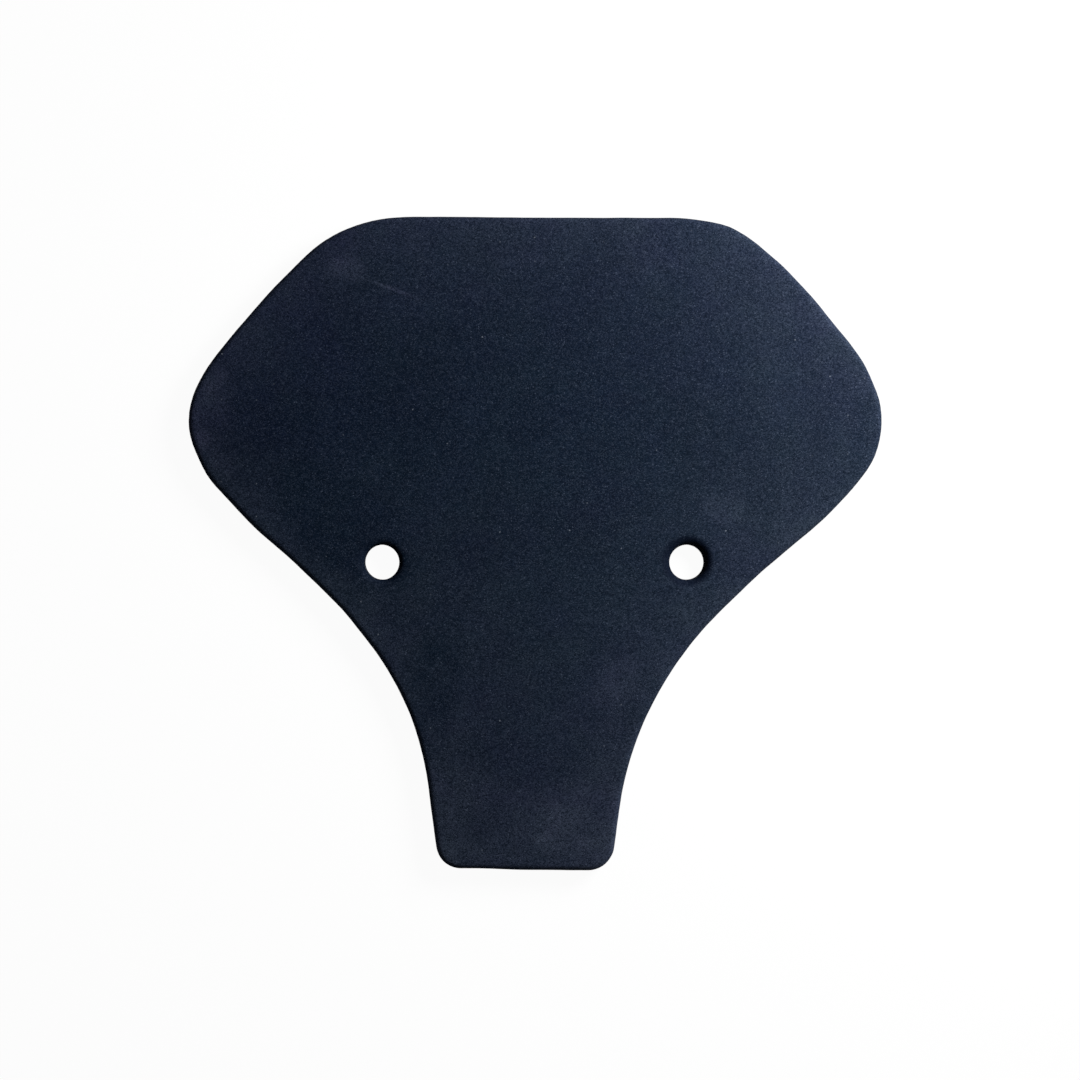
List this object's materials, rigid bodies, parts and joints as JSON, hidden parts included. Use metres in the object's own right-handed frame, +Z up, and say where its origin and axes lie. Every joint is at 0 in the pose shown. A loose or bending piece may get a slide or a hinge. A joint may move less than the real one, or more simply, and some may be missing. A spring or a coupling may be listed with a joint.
{
  "type": "motorcycle tail seat pad",
  "caption": "Flat closed-cell foam seat pad with a wide, winged rear end, a narrow front neck, a rounded upper edge and bolt holes through it.",
  "frame": {"origin": "middle of the pad's footprint, on the surface that its underside lies on", "axes": "+X across the pad to its right-hand wing tip, +Y along it to its wide rear edge, +Z up through its thickness"},
  "size_m": [0.32, 0.301, 0.01],
  "materials": {
    "foam": "matt"
  },
  "bodies": {
    "root": {"seat_pad": "foam"}
  },
  "joints": []
}
